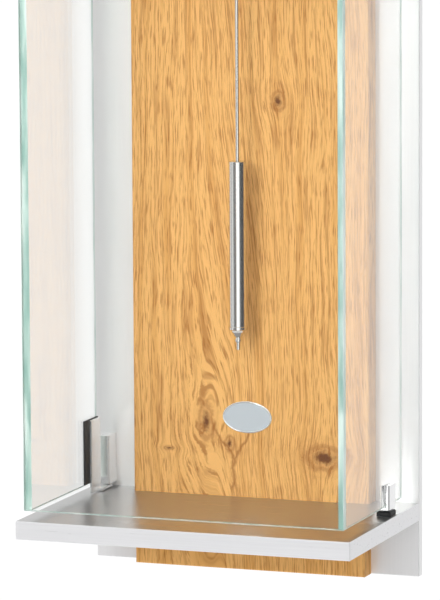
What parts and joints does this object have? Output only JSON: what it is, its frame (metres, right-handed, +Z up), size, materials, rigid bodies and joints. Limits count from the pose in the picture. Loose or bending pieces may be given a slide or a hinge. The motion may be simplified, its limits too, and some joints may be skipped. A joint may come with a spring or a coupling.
{
  "type": "wall pendulum clock",
  "caption": "Wall-hung pendulum clock: oak board on a brushed panel, hinged three-sided glass cover, spring movement, dial and slim steel pendulum.",
  "frame": {"origin": "centre of the back panel's rear face, on the wall", "axes": "+Z up, +Y into the wall, +X to the viewer's right"},
  "size_m": [0.226, 0.149, 0.654],
  "materials": {
    "oak": "oiled satin",
    "panel_metal": "fine brushed",
    "plate_metal": "brushed",
    "glass": "polished",
    "chrome": "polished",
    "black_pad": "matt",
    "magnet": "black coated",
    "steel": "fine turned",
    "polished_steel": "polished",
    "blued_steel": "blued spring steel",
    "brass": "satin lacquered",
    "badge_metal": "satin",
    "dial_metal": "fine sandblasted",
    "black_lacquer": "satin black"
  },
  "bodies": {
    "case": {"back_panel": "panel_metal", "oak_board": "oak", "bottom_plate": "plate_metal", "top_plate": "plate_metal", "hanger_plate": "steel", "rear_screws": "steel", "makers_badge": "badge_metal", "hinge_blocks": "chrome", "catch_magnet": "magnet", "movement_bracket": "steel", "bracket_screws": "steel", "movement_back_plate": "brass", "movement_front_plate": "brass", "plate_pillars": "brass", "pillar_nuts": "steel", "click_stud": "steel", "minute_wheel_post": "steel", "suspension_cock": "brass", "suspension_chop": "steel", "dial_plate": "dial_metal", "dial_feet": "brass", "hour_markers": "black_lacquer", "winding_eyelet": "chrome"},
    "glass_door": {"glass_front": "glass", "glass_left": "glass", "glass_right": "glass", "hinge_leaves": "chrome", "hinge_pads": "black_pad", "hinge_pins": "steel", "catch_clip": "chrome"},
    "barrel": {"barrel_drum": "brass", "barrel_cover": "brass", "mainspring": "blued_steel"},
    "winding_arbor": {"barrel_arbor": "steel", "ratchet_wheel": "steel"},
    "click_pawl": {"click": "steel"},
    "intermediate": {"intermediate_arbor": "steel", "intermediate_wheel": "brass"},
    "centre": {"centre_arbor": "steel", "centre_wheel": "brass", "cannon_pinion": "brass", "minute_hand": "black_lacquer", "hand_nut": "black_lacquer"},
    "third": {"third_arbor": "steel", "third_wheel": "brass"},
    "escape": {"escape_arbor": "steel", "escape_wheel": "brass"},
    "anchor": {"anchor_arbor": "steel", "anchor_pallets": "steel", "crutch": "brass"},
    "pendulum": {"suspension_spring": "blued_steel", "lower_chop": "steel", "pendulum_rod": "polished_steel"},
    "bob": {"bob_tube": "polished_steel", "bob_core": "steel", "bob_washer": "polished_steel"},
    "nut": {"rating_nut": "polished_steel"},
    "motion": {"minute_wheel": "brass"},
    "hours": {"hour_wheel": "brass", "hour_hand": "black_lacquer"}
  },
  "joints": [
    {"name": "door_swing", "type": "hinge", "parent": "case", "child": "glass_door", "pos_m": [-0.1012, -0.0155, 0], "axis": [0, 0, -1], "range_deg": [0, 90]},
    {"name": "third_spin", "type": "hinge", "parent": "case", "child": "third", "pos_m": [0.0169, -0.074, 0.19108], "axis": [0, 1, 0], "continuous": true},
    {"name": "minute_hand_turn", "type": "hinge", "parent": "case", "child": "centre", "pos_m": [0, -0.074, 0.177], "axis": [0, 1, 0], "continuous": true},
    {"name": "intermediate_spin", "type": "hinge", "parent": "case", "child": "intermediate", "pos_m": [0.01155, -0.074, 0.157], "axis": [0, 1, 0], "continuous": true},
    {"name": "barrel_spin", "type": "hinge", "parent": "case", "child": "barrel", "pos_m": [-0.0137, -0.074, 0.1393], "axis": [0, 1, 0], "continuous": true},
    {"name": "escape_spin", "type": "hinge", "parent": "case", "child": "escape", "pos_m": [0, -0.074, 0.20303], "axis": [0, 1, 0], "continuous": true},
    {"name": "minute_wheel_spin", "type": "hinge", "parent": "case", "child": "motion", "pos_m": [-0.012, -0.074, 0.177], "axis": [0, 1, 0], "continuous": true},
    {"name": "hour_hand_turn", "type": "hinge", "parent": "case", "child": "hours", "pos_m": [0, -0.074, 0.177], "axis": [0, 1, 0], "continuous": true},
    {"name": "winding_turn", "type": "hinge", "parent": "case", "child": "winding_arbor", "pos_m": [-0.0137, -0.074, 0.1393], "axis": [0, 1, 0], "continuous": true},
    {"name": "click_lift", "type": "hinge", "parent": "case", "child": "click_pawl", "pos_m": [-0.0267, -0.1004, 0.1453], "axis": [0, -1, 0], "range_deg": [0, 12]},
    {"name": "pendulum_swing", "type": "hinge", "parent": "case", "child": "pendulum", "pos_m": [0, -0.038, 0.22], "axis": [0, 1, 0], "range_deg": [-4.5, 4.5]},
    {"name": "anchor_rock", "type": "hinge", "parent": "case", "child": "anchor", "pos_m": [0, -0.086, 0.22], "axis": [0, 1, 0], "range_deg": [-4.6, 4.6]},
    {"name": "bob_slide", "type": "slide", "parent": "pendulum", "child": "bob", "axis": [0, 0, 1], "range_m": [-0.0021, 0.0021]},
    {"name": "rating_nut_turn", "type": "hinge", "parent": "bob", "child": "nut", "pos_m": [0, -0.038, -0.168], "axis": [0, 0, 1], "range_deg": [-1090, 1090]}
  ],
  "couplings": [
    {"joint": "minute_hand_turn", "follows": "third_spin", "ratio": -0.1},
    {"joint": "intermediate_spin", "follows": "third_spin", "ratio": 0.016667},
    {"joint": "barrel_spin", "follows": "third_spin", "ratio": -0.0021368},
    {"joint": "escape_spin", "follows": "third_spin", "ratio": -10.5},
    {"joint": "minute_wheel_spin", "follows": "third_spin", "ratio": 0.033333},
    {"joint": "hour_hand_turn", "follows": "third_spin", "ratio": -0.0083333},
    {"joint": "anchor_rock", "follows": "pendulum_swing", "ratio": 1},
    {"joint": "rating_nut_turn", "follows": "bob_slide", "rad_per_m": 8976}
  ]
}
